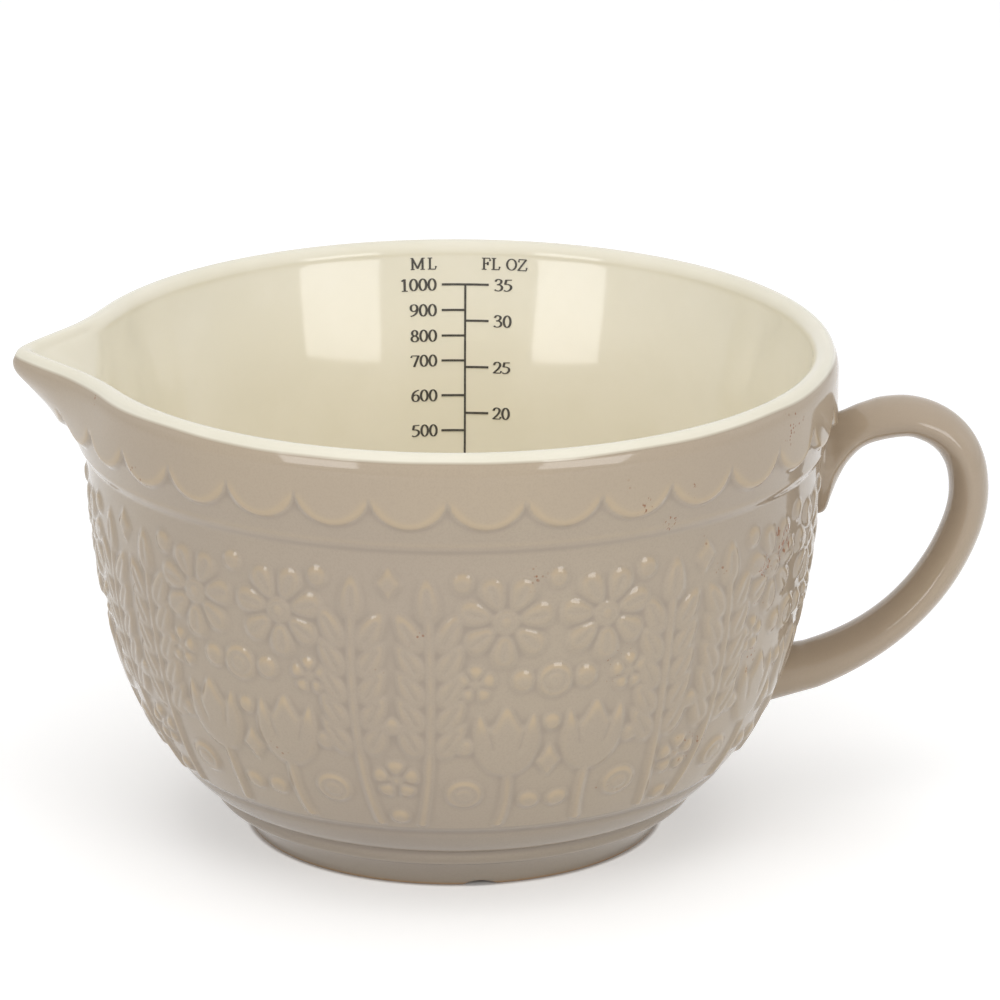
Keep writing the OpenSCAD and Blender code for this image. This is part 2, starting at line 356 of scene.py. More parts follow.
class Relief:
    """Heights of flat, soft-edged plates over wall points at (u, s), in millimetres across and up."""

    def __init__(self, u, s):
        self.u = u
        self.s = s
        self.h = np.zeros_like(u)

    def offset(self, cx, cs):
        return self.u - cx, self.s - cs

    def plate(self, depth, carve=0.0):
        """Raise a plate where depth, the distance inside its edge, is positive, less a carved line."""
        flat = step((depth + EDGE_SOFT) / (2 * EDGE_SOFT))
        height = FLAT_SHARE * flat + (1 - FLAT_SHARE) * step(depth / DOME_RUN)
        self.h = np.maximum(self.h, height - carve * step(depth / CARVE_RUN))

    def oval(self, cx, cs, half_l, half_w, angle, groove):
        """An egg shape, blunt at its near end, with a groove along its middle."""
        egg, groove_half, groove_end, groove_fade = 0.28, 0.55, 0.72, 0.2
        du, ds = self.offset(cx, cs)
        x = du * cos(angle) + ds * sin(angle)
        y = ds * cos(angle) - du * sin(angle)
        taper = 1 - egg * np.clip(x / half_l, -1, 1)
        depth = (1 - np.hypot(x / half_l, y / (half_w * taper))) * min(half_l, half_w)
        line = step((groove_half - np.abs(y)) / CUT_SOFT)
        line *= step((groove_end - np.abs(x) / half_l) / groove_fade)
        self.plate(depth, groove * line)

    def button(self, cx, cs, r, ring_depth=0.4):
        """A round plate with a ring cut into it."""
        ring = 0.58
        away = np.hypot(*self.offset(cx, cs))
        self.plate(r - away, ring_depth * step((CUT_HALF - np.abs(away - ring * r)) / CUT_SOFT))

    def dome(self, cx, cs, r):
        self.button(cx, cs, r, ring_depth=0)

    def diamond(self, cx, cs, half_w, half_h):
        du, ds = self.offset(cx, cs)
        inside = 1 - np.abs(du) / half_w - np.abs(ds) / half_h
        self.plate(inside * half_w * half_h / hypot(half_w, half_h))

    def stem(self, path):
        for a, b in zip(path[:-1], path[1:]):
            along = b - a
            du, ds = self.offset(*a)
            t = np.clip((du * along[0] + ds * along[1]) / (along @ along), 0, 1)
            self.plate(STEM_HALF - np.hypot(du - t * along[0], ds - t * along[1]))

    def daisy(self, cx, cs, r, petals, turn_by, groove=0.0):
        """Oval petals round a button, sized as shares of the radius."""
        petal_at, petal_long, petal_wide, eye = 0.66, 0.35, 0.58, 0.27
        half_w = petal_wide * r * sin(pi / petals)
        for k in range(petals):
            a = turn_by + 2 * pi * k / petals
            x = cx + petal_at * r * cos(a)
            s = cs + petal_at * r * sin(a)
            self.oval(x, s, petal_long * r, half_w, a + pi, groove)
        self.button(cx, cs, eye * r)

    def tulip(self, cx, cs, half_w, half_h):
        """A cup with three points and a fold line on either side, sized as shares of its halves."""
        drop, point_mid, point_rise, point_slope = 0.1, 0.42, 0.24, 0.7
        fold_at, fold_flare, fold_low, fold_fade = 0.5, 0.32, 0.5, 2.0
        x, y = self.offset(cx, cs)
        cup = (1 - np.hypot(x / half_w, (y + drop * half_h) / half_h)) * half_w
        points = half_h * (point_mid + point_rise * np.cos(2 * pi * x / half_w))
        depth = np.minimum(cup, (points - y) * point_slope)
        fold = np.abs(np.abs(x) - half_w * (fold_at + fold_flare * np.clip(y / half_h, -1, 1)))
        line = step((CUT_HALF - fold) / CUT_SOFT) * step((fold_low * half_h + y) / fold_fade)
        self.plate(depth, CUT_DEPTH * line)

    def ear(self, path, first, pairs, grain):
        """A wheat ear: a stem, pairs of grains up its top part and one grain at its tip."""
        lean, out, aside, half_l, half_w = 0.5, 0.62 * grain, 0.3 * grain, 0.66 * grain, 0.34 * grain
        self.stem(path[::2])
        for k in range(pairs + 1):
            at = (first + (1 - first) * k / pairs) * (len(path) - 2)
            i = int(at)
            lead = path[i + 1] - path[i]
            base = path[i] + (at - i) * lead
            heading = atan2(lead[1], lead[0])
            for side in (0,) if k == pairs else (1, -1):
                a = heading + side * lean
                x = base[0] + out * cos(a) - side * aside * sin(heading)
                s = base[1] + out * sin(a) + side * aside * cos(heading)
                self.oval(x, s, half_l, half_w, a, CUT_DEPTH)


def draw_panel(relief):
    relief.ear(bezier2((-9.2, 3.0), (-7.2, 26), (-8.8, 54), 31), first=0.42, pairs=5, grain=6.6)
    relief.daisy(6.2, 52.0, r=9.3, petals=7, turn_by=0.17, groove=0.36)
    relief.stem(bezier2((5.2, 3.0), (7.4, 10), (6.8, 20), 12))
    relief.tulip(6.6, 27.2, half_w=6.5, half_h=9.0)
    relief.daisy(0.4, 38.8, r=3.8, petals=5, turn_by=0.3)
    relief.button(-1.4, 12.6, r=3.5)
    relief.dome(-1.6, 24.6, r=1.9)
    relief.dome(-2.2, 60.2, r=2.0)
    relief.dome(9.6, 39.2, r=2.2)
    relief.dome(11.2, 10.4, r=2.0)


def draw_ear_seam(relief):
    relief.daisy(0, 16.0, r=4.6, petals=5, turn_by=0.31)
    relief.diamond(0, 59.8, half_w=2.4, half_h=3.3)
    relief.dome(0, 5.8, r=1.8)
    relief.dome(0, 29.0, r=1.9)


def draw_daisy_seam(relief):
    relief.button(0, 39.0, r=3.5)
    relief.diamond(0, 20.5, half_w=2.4, half_h=3.6)
    relief.dome(0, 60.6, r=1.9)
    relief.dome(0, 29.6, r=1.7)


def relief_height(az, r, s):
    """Relief on the wall at angles az (columns) and arc lengths s (rows) where the radius is r."""
    h = np.zeros((len(s), len(az)))
    pitch = 2 * pi / PANELS
    for k in range(PANELS):
        flip = 1 - 2 * (k % 2)
        seam = draw_ear_seam if k % 2 else draw_daisy_seam
        for centre, side, draw in ((k, flip, draw_panel), (k + 0.5, 1, seam)):
            d = wrap(az - PANEL_START - centre * pitch)
            cols = np.nonzero(np.abs(d) < PANEL_REACH * pitch)[0]
            u = side * d[cols] * r[:, None]
            relief = Relief(u, s[:, None] + 0 * u)
            draw(relief)
            h[:, cols] = np.maximum(h[:, cols], relief.h)
    return h


def blurred(h, n):
    """A closed grid of heights averaged n times with its neighbours."""
    for _ in range(n):
        h = (np.roll(h, 1, 1) + 2 * h + np.roll(h, -1, 1)) / 4
        p = np.concatenate([h[:1], h, h[-1:]])
        h = (p[:-2] + 2 * p[1:-1] + p[2:]) / 4
    return h


# The bowl's wall, as light meshes for sectors of (name, first angle, last angle, columns)

WALL_START = 2.0
WALL_ROWS = 200
SECTORS = (
    ("left_front", -185, -90, 372),
    ("right_front", -90, 5, 372),
    ("right_back", 5, 90, 240),
    ("left_back", 90, 175, 240),
)
FADE_LOW = (2.3, 1.4)
FADE_TOP = (1.2, 1.6)
FLATTER = 0.12
FLATTER_UP = (38.0, 15.0)
HANDLE_SEATS = ((72.0, 0.62), (28.0, 0.95))
SEAT_CLEAR = (8.4, 2.2)
SOFTEN = 2
RIDGE_BLUR = 14
RIDGE_GAIN = 1.9
HOLLOW_SHADE_GAIN = 3.6
UPPER_HIGHLIGHT_GAIN = 5.0
UPPER_HIGHLIGHT_SHARE = 0.5
PALE_MOST = 0.9
POOLED_SHADE_MOST = 0.95


def clear_of_handle(az, prof):
    """0 where the handle's ends sit on the wall, rising to 1 round them, and 1 all over the lip's half."""
    y = prof[:, :1] * np.sin(az)
    z = prof[:, 1:]
    upper, lower = [np.hypot(y, (z - height) * squash) for height, squash in HANDLE_SEATS]
    return np.where(np.cos(az) > 0, rise(np.minimum(upper, lower), SEAT_CLEAR), 1)


def wall_relief(az, s, prof):
    """The relief, faded out at the wall's two edges and at the handle, and flatter towards the top."""
    h = relief_height(az, prof[:, 0], s)
    h *= (rise(s, FADE_LOW) * rise(s[-1] - s, FADE_TOP))[:, None]
    h *= clear_of_handle(az, prof)
    h *= (1 - FLATTER * rise(s, FLATTER_UP))[:, None]
    return blurred(h, SOFTEN)


def glaze_on_relief(h):
    """The relief's tone: above 0 where the glaze runs thin on ridges, with a painted highlight on upper
    edges; below 0 in the hollows, pooled glaze with painted shade.
    """
    ridge = h - blurred(h, RIDGE_BLUR)
    # Painted highlight: the upper edges of the plates are made paler, as if lit from above.
    upper = np.clip(-np.gradient(h, axis=0) * UPPER_HIGHLIGHT_GAIN, 0, 1)
    tone = np.clip(RIDGE_GAIN * np.maximum(ridge, 0) + UPPER_HIGHLIGHT_SHARE * upper, 0, PALE_MOST)
    # The hollows round the plates are darkened: pooled glaze and painted shade.
    return tone - np.clip(HOLLOW_SHADE_GAIN * np.maximum(-ridge, 0), 0, POOLED_SHADE_MOST)


def build_wall():
    """The wall's sectors, with normals from the whole wall so that no seam shows."""
    top = np.interp(COLLAR_LOW, WALL_LINE[:, 1], WALL_ALONG)
    s = np.linspace(WALL_START, top, WALL_ROWS)
    prof = wall_point(s)
    d = unit(np.gradient(prof, axis=0))
    az = np.concatenate([
        np.linspace(radians(a), radians(b), n, endpoint=False) for _, a, b, n in SECTORS
    ])
    h = wall_relief(az, s, prof)
    bulge = lip_plan(az) * lip_reach(prof[:, 1:])
    r = prof[:, :1] + RELIEF_H * h * d[:, 1:] + bulge
    z = prof[:, 1:] - RELIEF_H * h * d[:, :1]
    verts = turn(r, z, az)
    normals = grid_normals(verts)
    edge = glaze_on_relief(h)
    pieces = []
    first = 0
    for name, _, _, count in SECTORS:
        cols = np.arange(first, first + count + 1) % len(az)
        obj = grid_object("bowl_body_wall_" + name, verts[:, cols], closed=False)
        set_normals(obj, normals[:, cols])
        add_value(obj, "edge", edge[:, cols])
        pieces.append(obj)
        first += count
    return pieces


# The collar: rows of (radius, height, tone with painted light and shade), from the wall's step to under the
# cream

COLLAR_COLS = 900
STEP_ROWS = 18
BORDER_ROWS = 38
RIM_ROWS = 16
STEP_HIGHLIGHT = 0.3
STEP_HIGHLIGHT_UP = (0.5, 0.5)
STEP_HIGHLIGHT_END = 1.6
STEP_SHADE = 0.55
STEP_SHADE_UP = (0.0, 0.4)
STEP_SHADE_DOWN = (0.2, 0.4)
BORDER_PAINTED_LIGHT = 0.36
BORDER_BLUR = 8
BORDER_GAIN = 2.8
BORDER_SHADE = 0.8
BORDER_PALE = 0.3
UNDER_CREAM = radians(12)
SINK = 0.06
SINK_UP = (8, 3)


def step_rows(az, bulge):
    rows = []
    for along in np.linspace(0, 1, STEP_ROWS, endpoint=False):
        z = COLLAR_LOW + COLLAR_RUN * along
        # Painted shade in the step's hollow and a painted highlight on its upper roll.
        step_shade = STEP_SHADE * rise(along, STEP_SHADE_UP) * rise(1 - along, STEP_SHADE_DOWN)
        tone = STEP_HIGHLIGHT * rise(along, STEP_HIGHLIGHT_UP) - step_shade
        rows.append((step_r(z) + bulge * lip_reach(z), z, 0 * az + tone))
    return rows


def border_rows(az, bulge):
    heights = np.linspace(COLLAR_LOW + COLLAR_RUN, RIM_LOW, BORDER_ROWS, endpoint=False)
    r, inside = collar_r(az, heights[:, None])
    ridge = inside - blurred(inside, BORDER_BLUR)
    rows = []
    for i, z in enumerate(heights):
        # Painted highlight: a paler band just above the step.
        step_highlight = STEP_HIGHLIGHT * step(1 - (z - heights[0]) / STEP_HIGHLIGHT_END)
        # Scallop edges: a pale line where the glaze runs thin and painted shade just below; the whole
        # border is made paler by painted light that stands in for the floor's reflected light.
        edge = np.clip(BORDER_GAIN * ridge[i], -BORDER_SHADE, BORDER_PALE)
        rows.append((r[i] + bulge * lip_reach(z), z, edge + step_highlight + BORDER_PAINTED_LIGHT * inside[i]))
    return rows


def rim_rows(az, bulge):
    """Up the rim's outer side, and a little way on beneath the cream."""
    rows = []
    for k in range(RIM_ROWS):
        a = (GLAZE_EDGE + UNDER_CREAM) * k / (RIM_ROWS - 1)
        sink = SINK * rise(k, SINK_UP)
        r, z = rim_outside(a)
        out = bulge * lip_reach(min(z, RIM_Z))
        # Painted light: the rim's outer side is made as pale as the border.
        rows.append((r - sink * cos(a) + out, z - sink * sin(a), 0 * az + BORDER_PAINTED_LIGHT))
    return rows


def build_collar():
    az = circle(COLLAR_COLS)
    bulge = lip_plan(az)
    rows = step_rows(az, bulge) + border_rows(az, bulge) + rim_rows(az, bulge)
    verts = np.array([turn(r, z, az) for r, z, _ in rows])
    obj = grid_object("bowl_body_collar", verts)
    set_normals(obj, grid_normals(verts))
    add_value(obj, "edge", np.array([tone for _, _, tone in rows]))
    return obj


# The foot: a ring with drain notches, a bead and a band, with two soft grooves between them

FOOT_COLS = 600
FOOT_EDGE = (FOOT_R, 0.6)
FOOT_BEND = (43.35, 3.65)
FOOT_TOP = (45.9, 6.1)
BEAD_BEND = (49.2, 6.6)
BEAD_TOP = (49.3, 9.7)
BASE_BEND = (53.6, 12.2)
FOOT_FLAT = (41.0, 0.0)
FOOT_FLAT_BEND = (41.55, 0.0)
FOOT_UNDER = [
    (0.0, 2.8), (12.0, 2.8), (24.0, 2.8), (33.6, 2.8), (34.5, 2.75), (35.0, 2.2), (35.9, 0.5), (36.2, 0.06),
    (36.6, 0.0), (38.8, 0.0),
]
CURVE_STEPS = 60
WALL_TAIL = 160
FINE_STEP = 0.1
FINE_KEEP = 3
FINE_PASSES = 30
GROOVE_DEPTH = 0.38
GROOVE_REACH = 0.75
GROOVE_SHADE = 0.8
CORNER_SHADE = 0.5
CORNER_REACH = 0.6
BEAD_HIGHLIGHT = 0.3
BEAD_REACH = 1.2
RING_INNER_R = 34.8
NOTCHES = 3
NOTCH_AZ = radians(-86)
NOTCH_AT_R = 39.0
NOTCH_W = 6.6
NOTCH_H = 1.0


def hump(s, centre, reach):
    return np.exp(-((s - centre) / reach) ** 2)


def foot_profile():
    """The outside from the foot's edge to a little up the wall, and its tone: painted shade in the grooves
    and at the foot's corner, a painted highlight along the bead.
    """
    foot = bezier2(FOOT_EDGE, FOOT_BEND, FOOT_TOP, CURVE_STEPS)
    bead = bezier2(FOOT_TOP, BEAD_BEND, BEAD_TOP, CURVE_STEPS)
    band = bezier2(BEAD_TOP, BASE_BEND, WALL_LOW, CURVE_STEPS)
    line = np.concatenate([foot, bead[1:], band[1:], WALL_LINE[1:WALL_TAIL]])
    at = run_length(line)
    foot_end, bead_end, band_end = [at[k * (CURVE_STEPS - 1)] for k in (1, 2, 3)]
    count = int(at[-1] / FINE_STEP)
    fine = even(line, count)
    s = np.linspace(0, at[-1], count)
    d = unit(np.gradient(fine, axis=0))
    dip = hump(s, bead_end, GROOVE_REACH) + hump(s, band_end, GROOVE_REACH)
    fine = fine - GROOVE_DEPTH * dip[:, None] * np.stack([d[:, 1], -d[:, 0]], -1)
    for _ in range(FINE_PASSES):
        fine = smoothed(fine)
    # Painted shade in the two grooves and at the foot's corner, and a painted highlight along the bead's
    # middle.
    tone = -GROOVE_SHADE * dip - CORNER_SHADE * hump(s, foot_end, CORNER_REACH)
    tone += BEAD_HIGHLIGHT * hump(s, (foot_end + bead_end) / 2, BEAD_REACH)
    keep = np.arange(0, count, FINE_KEEP)
    keep = keep[s[keep] < band_end + WALL_START - FINE_STEP]
    return np.concatenate([fine[keep], [wall_point(WALL_START)]]), np.concatenate([tone[keep], [0]])


def notch_height(az):
    """Height of the round drain notches cut into the foot ring."""
    r = (NOTCH_W ** 2 / 4 + NOTCH_H ** 2) / (2 * NOTCH_H)
    cut = np.zeros_like(az)
    for k in range(NOTCHES):
        across = wrap(az - NOTCH_AZ - 2 * pi * k / NOTCHES) * NOTCH_AT_R
        cut = np.maximum(cut, np.sqrt(np.maximum(r ** 2 - across ** 2, 0)) - (r - NOTCH_H))
    return cut


def build_foot():
    az = circle(FOOT_COLS)
    side, tone = foot_profile()
    edge = bezier2(FOOT_FLAT, FOOT_FLAT_BEND, side[0], 5)[:-1]
    prof = np.concatenate([FOOT_UNDER, edge, side])
    r = prof[:, :1] + 0 * az
    z = prof[:, 1:] + 0 * az
    z = np.where(r > RING_INNER_R, np.maximum(z, notch_height(az)), z)
    obj = grid_object("bowl_body_foot", turn(r, z, az))
    tone = np.concatenate([np.zeros(len(prof) - len(tone)), tone])
    add_value(obj, "edge", tone[:, None] + 0 * az)
    return obj


# The cream lining, from its wavy border on the rim over the crest and down to the floor

LINING_COLS = 420
LIP_COLS = 140
LIP_ZONE = radians(25)
WAVE = radians(1.0)
FINE_WAVE = radians(0.5)
INSIDE_STEP = 0.35
INSIDE_FINE = 62
INSIDE_SKIP = 4
FLOOR_RINGS = (12.0, 6.0, 0.01)
LINING_DROP = 2.0
BROWN_ROWS = 7
LIP_EASE_UP = (-14.4, 8.0)
LIP_EASE_DOWN = (-58.0, 20.0)
LIP_EASE_GAIN = 4.0
LIP_EASE_PASSES = 160
LEAN_TOP = radians(13.0)
LEAN_GROWTH = radians(0.51)
LEAN_FROM_TOP = (0.0, 0.9)
LEAN_FROM_LOW = (32.0, 22.0)
LEAN_LIP_GAIN = 5.0
FLAT_TOP = 0.055
FLAT_DEPTH = 22.0


def lining_rows(az, bulge):
    """Radius and height of the lining in rows, and the number of rows down to the crest's inner end."""
    border = GLAZE_EDGE + WAVE * ripple(az, 3, 14) + FINE_WAVE * ripple(az * 3, 5, 10)
    rows = []
    for k in range(RIM_ROWS):
        r, z = rim_outside(border + (pi / 2 - border) * k / RIM_ROWS)
        rows.append((r + bulge * lip_reach(np.minimum(z, RIM_Z)), z))
    top = RIM_R - RIM_T / 2 + bulge * lip_reach(RIM_Z)
    inner = RIM_R - RIM_T + bulge * lip_reach(RIM_Z - LINING_DROP)
    for a in np.linspace(pi / 2, pi, RIM_ROWS):
        rows.append((top + (top - inner) * cos(a), 0 * az + RIM_Z + RIM_T / 2 * sin(a)))
    crest = len(rows)
    fine = even(INSIDE, int(run_length(INSIDE)[-1] / INSIDE_STEP))
    keep = np.concatenate([np.arange(1, INSIDE_FINE), np.arange(INSIDE_FINE, len(fine), INSIDE_SKIP)])
    for r, z in fine[keep]:
        rows.append((r + bulge * lip_reach(z - LINING_DROP), 0 * az + z))
    for r in FLOOR_RINGS:
        rows.append((0 * az + r, 0 * az + FLOOR_Z))
    return np.array([r for r, _ in rows]), np.array([z for _, z in rows]), crest


def eased_lip(r, z, bulge, crest):
    """The rows with their run over the lip's crest and throat smoothed."""
    row = np.arange(len(r)) - crest
    ease = rise(row, LIP_EASE_UP) * rise(-row, LIP_EASE_DOWN)
    weight = ease[:, None] * step(bulge * LIP_EASE_GAIN)
    soft_r, soft_z = r, z
    for _ in range(LIP_EASE_PASSES):
        soft_r, soft_z = smoothed(soft_r), smoothed(soft_z)
    return r + weight * (soft_r - r), z + weight * (soft_z - z)


def lining_normals(verts, z, az, bulge, crest):
    """Normals that lean from the true ones on the upper wall, to place the lamps' reflections there."""
    true = grid_normals(verts)
    lean = LEAN_TOP + LEAN_GROWTH * (RIM_Z - z)
    facing = az + FLAT_TOP * step(1 - (RIM_Z - z) / FLAT_DEPTH) * np.sin(2 * az) / 2
    leaning = np.stack([-np.cos(facing) * np.cos(lean), -np.sin(facing) * np.cos(lean), np.sin(lean)], -1)
    blend = rise(RIM_Z - z, LEAN_FROM_TOP) * rise(z, LEAN_FROM_LOW)
    blend *= 1 - step(bulge * LEAN_LIP_GAIN)
    blend *= (np.arange(len(z)) >= crest)[:, None]
    return unit(true + (leaning - true) * blend[..., None])


def build_lining():
    round_part = np.linspace(LIP_ZONE - pi, pi - LIP_ZONE, LINING_COLS, endpoint=False)
    lip_part = np.linspace(pi - LIP_ZONE, pi + LIP_ZONE, LIP_COLS, endpoint=False)
    az = np.concatenate([round_part, lip_part])
    bulge = lip_plan(az)
    r, z, crest = lining_rows(az, bulge)
    r, z = eased_lip(r, z, bulge, crest)
    verts = turn(r, z, az)
    obj = grid_object("inner_glaze", verts)
    set_normals(obj, lining_normals(verts, z, az, bulge, crest))
    brown = np.zeros_like(r)
    brown[:BROWN_ROWS] = np.linspace(1, 0, BROWN_ROWS)[:, None]
    add_value(obj, "rim_edge", brown)
    return obj


# The handle: outlines in its own plane, as pairs of points on its outer and inner edge

HANDLE_BACK = (104.1, 67.4)
UPPER = np.array([(72.0, 75.5), (84.16, 88.09), (104.1, 85.2), HANDLE_BACK])
LOWER = np.array([HANDLE_BACK, (104.1, 52.7), (89.19, 30.38), (60.8, 27.9)])
HANDLE_T = 8.0
HANDLE_W = 14.0
HANDLE_KEEN = 1.1
HANDLE_SIDES = 72
HANDLE_STEPS = 9
LOOP_START = 0.46
LOOP_STATIONS = 15
LOOP_INSET = 0.22
LOOP_SAG = 0.3
SAG_UP = (1.05, 0.25)
SAG_DOWN = (0.0, 0.25)
FLARE = 3.4
FLARE_FROM = 1.5
ROOT_OUT = [
    (73.6, 82.4), (75.4, 83.1), (76.3, 83.5), (77.2, 83.8),
    (78.7, 84.3), (81.2, 85.3), (83.6, 86.0), (86.4, 86.7),
]
ROOT_IN = [
    (71.4, 62.4), (73.9, 62.7), (75.0, 63.6), (75.8, 65.9),
    (76.9, 69.2), (78.7, 73.1), (81.5, 76.4), (85.0, 78.05),
]
ROOT_LOW_W = [2.6, 2.9, 3.2, 3.7, 4.5, 5.4, 6.2, 6.8]
SEAT_RINGS = 13
SEAT_DEPTH = 2.2
SEAT_REACH = 30.0
SEAT_TRIES = 601


def on_loop(value, t):
    """A value of the loop's curves: t up to 1 on the upper one, then up to 2 on the lower one."""
    upper = value(UPPER, np.minimum(t, 1))
    return np.where((t < 1)[:, None], upper, value(LOWER, np.maximum(t - 1, 0)))


def handle_pairs():
    """Points on the outer and inner edge, and half the width on the inner side, from the root down."""
    t = np.linspace(LOOP_START, 2, LOOP_STATIONS)
    d = unit(on_loop(slope3, t))
    n = np.stack([-d[:, 1], d[:, 0]], -1)
    sag = LOOP_INSET + LOOP_SAG * rise(t, SAG_UP) * rise(2 - t, SAG_DOWN)
    centre = on_loop(bezier3, t) - n * sag[:, None]
    flare = FLARE * np.maximum((t - FLARE_FROM) / (2 - FLARE_FROM), 0) ** 2
    half = n * ((HANDLE_T + flare) / 2)[:, None]
    low_w = np.concatenate([ROOT_LOW_W, np.full(len(t), HANDLE_W / 2)])
    return np.concatenate([ROOT_OUT, centre + half]), np.concatenate([ROOT_IN, centre - half]), low_w


def seat_end(rings):
    """Let the last rings run straight on until each of their lines ends at one depth inside the wall."""
    start = rings[-SEAT_RINGS]
    lead = unit(rings[-1] - start)
    reach = np.linspace(0, SEAT_REACH, SEAT_TRIES)
    line = start[None] + reach[:, None, None] * lead[None]
    depth = outside_r(line[..., 2]) - np.hypot(line[..., 0], line[..., 1])
    end = reach[np.argmax(depth > SEAT_DEPTH, axis=0)]
    rings[-SEAT_RINGS:] = start + span(SEAT_RINGS)[:, None, None] * end[:, None] * lead
    return rings


def handle_rings():
    """Rings of points round the handle, keen ovals that narrow on the inner side near the root."""
    out, inn, low_w = [spline(line, HANDLE_STEPS) for line in handle_pairs()]
    a = np.linspace(0, 2 * pi, HANDLE_SIDES, endpoint=False)
    across = np.sign(np.cos(a)) * np.abs(np.cos(a)) ** HANDLE_KEEN
    glow_outside_foot = np.sign(np.sin(a)) * np.abs(np.sin(a)) ** HANDLE_KEEN
    centre, half = (out + inn) / 2, (out - inn) / 2
    side = np.where(across > 0, HANDLE_W / 2, low_w + (HANDLE_W / 2 - low_w) * (1 + np.minimum(across, 0)))
    x = centre[:, :1] + half[:, :1] * across
    z = centre[:, 1:] + half[:, 1:] * across
    return seat_end(np.stack([x, side * glow_outside_foot, z], -1))


def build_handle(rings):
    count, n = rings.shape[:2]
    faces = grid_faces(count, n, True)
    faces += [list(range(n))[::-1], [(count - 1) * n + k for k in range(n)]]
    obj = new_object("handle_loop", rings.reshape(-1, 3), faces)
    add_value(obj, "edge", np.zeros(count * n))
    return obj


# Slip fillets where the handle leaves the bowl

FILLET_REACH = 1.3
FILLET_RINGS = 90
FILLET_STEPS = 7
FILLET_SINK = 0.05
FILLET_TRIES = 400


def fillet_arc(line, centre):
    """An arc from the bowl's surface round the handle to the handle, along one of the handle's lines."""
    gap = np.hypot(line[:, 0], line[:, 1]) - outside_r(line[:, 2])
    i = np.argmax(gap > 0)
    foot = line[i]
    top = line[i + np.searchsorted(run_length(line[i:])[1:], FILLET_REACH)]
    radial = np.array([foot[0], foot[1], 0]) / hypot(foot[0], foot[1])
    away = foot - centre
    away = unit(away - radial * (away @ radial))
    low = foot + away * FILLET_REACH
    low[:2] *= (outside_r(low[2]) - FILLET_SINK) / hypot(low[0], low[1])
    return bezier2(low, foot, top, FILLET_STEPS)


def build_fillet(name, rings):
    """A fillet round the handle's rings, which are listed from inside the wall outwards."""
    centre = rings[:3].mean(axis=(0, 1))
    arcs = [fillet_arc(even(rings[:, k], FILLET_TRIES), centre) for k in range(rings.shape[1])]
    verts = np.array(arcs).transpose(1, 0, 2)
    obj = grid_object(name, verts)
    add_value(obj, "edge", np.zeros(verts.shape[:2]))
    return obj


# Numbers and unit names of the measuring scale, drawn with a broad nib in hundredths of their height

def oval(cx, cy, rx, ry, n):
    return [(cx + rx * cos(a), cy + ry * sin(a)) for a in np.radians(np.linspace(90, 450, n))]


def curve(*points):
    return [tuple(p) for p in spline(points, 5)]


GLYPH_H = 100
DIGIT = 50
SIX = curve(
    (43, 96), (27, 88), (13, 68), (7.5, 34), (13, 10), (26, 3),
    (39, 10), (43.5, 30), (39, 50), (26, 57), (13, 49), (8, 38),
)
GLYPHS = {
    "0": (DIGIT, [oval(25, 50, 18.5, 46.5, 26)]),
    "1": (DIGIT, [[(26, 3), (26, 96)], [(11, 84), (26, 96)], [(12, 2), (40, 2)]]),
    "2": (DIGIT, [
        curve((6, 74), (12, 90), (24, 96.5), (37, 88), (40, 70), (30, 42), (4, 5)),
        [(4, 5), (42, 5), (46, 20)],
    ]),
    "3": (DIGIT, [
        curve((6, 80), (13, 93), (24, 96.5), (36, 89), (37, 72), (28, 58), (16, 53)),
        curve((16, 53), (32, 50), (42, 34), (38, 13), (24, 3), (10, 5), (4, 11)),
    ]),
    "4": (DIGIT, [[(34, 2), (34, 96)], [(34, 96), (4, 30)], [(4, 30), (47, 30)]]),
    "5": (DIGIT, [
        [(14, 93), (43, 95)],
        [(14, 93), (9, 58)],
        curve((9, 58), (25, 58), (39, 48), (41, 28), (31, 10), (16, 3), (4, 8)),
    ]),
    "6": (DIGIT, [SIX]),
    "7": (DIGIT, [[(4, 80), (7, 93), (45, 93)], [(45, 93), (20, 2)]]),
    "8": (DIGIT, [oval(25, 74, 14.5, 22, 22), oval(25, 26.5, 18, 23.5, 22)]),
    "9": (DIGIT, [[(DIGIT - x, GLYPH_H - y) for x, y in SIX]]),
    "M": (106, [
        [(13, 3), (13, 97)], [(13, 97), (45, 10)], [(45, 10), (76, 97)], [(77, 97), (77, 3)],
        [(3, 2), (24, 2)], [(65, 2), (89, 2)], [(3, 98), (15, 98)], [(76, 98), (89, 98)],
    ]),
    "L": (64, [[(18, 3), (18, 97)], [(6, 98), (31, 98)], [(6, 2), (52, 2), (56, 26)]]),
    "F": (62, [
        [(18, 3), (18, 97)], [(6, 98), (54, 98), (56, 76)],
        [(18, 52), (42, 52)], [(42, 40), (42, 64)], [(6, 2), (32, 2)],
    ]),
    "O": (76, [oval(38, 50, 29, 47, 28)]),
    "Z": (64, [[(8, 76), (10, 97), (55, 97)], [(55, 97), (5, 3)], [(5, 3), (57, 3), (60, 26)]]),
    " ": (30, []),
}
NIB_W = 6.6
NIB_H = 3.6
NIB_OVERRUN = 0.6 * NIB_H
INK_T = 0.09
SCALE_AZ = radians(85)
MARK_TOP = 91.3
FIGURE = 2.55
FIGURE_WIDE = 1.52
ML_RIGHT = -6.0
OZ_LEFT = 6.1
LETTER = 2.4
LETTER_WIDE = 1.36
HEADING_Z = 94.45
ML_MIDDLE = -8.63
OZ_MIDDLE = 8.1


def text_width(text, size, wide):
    return sum(GLYPHS[c][0] for c in text) * size / GLYPH_H * wide


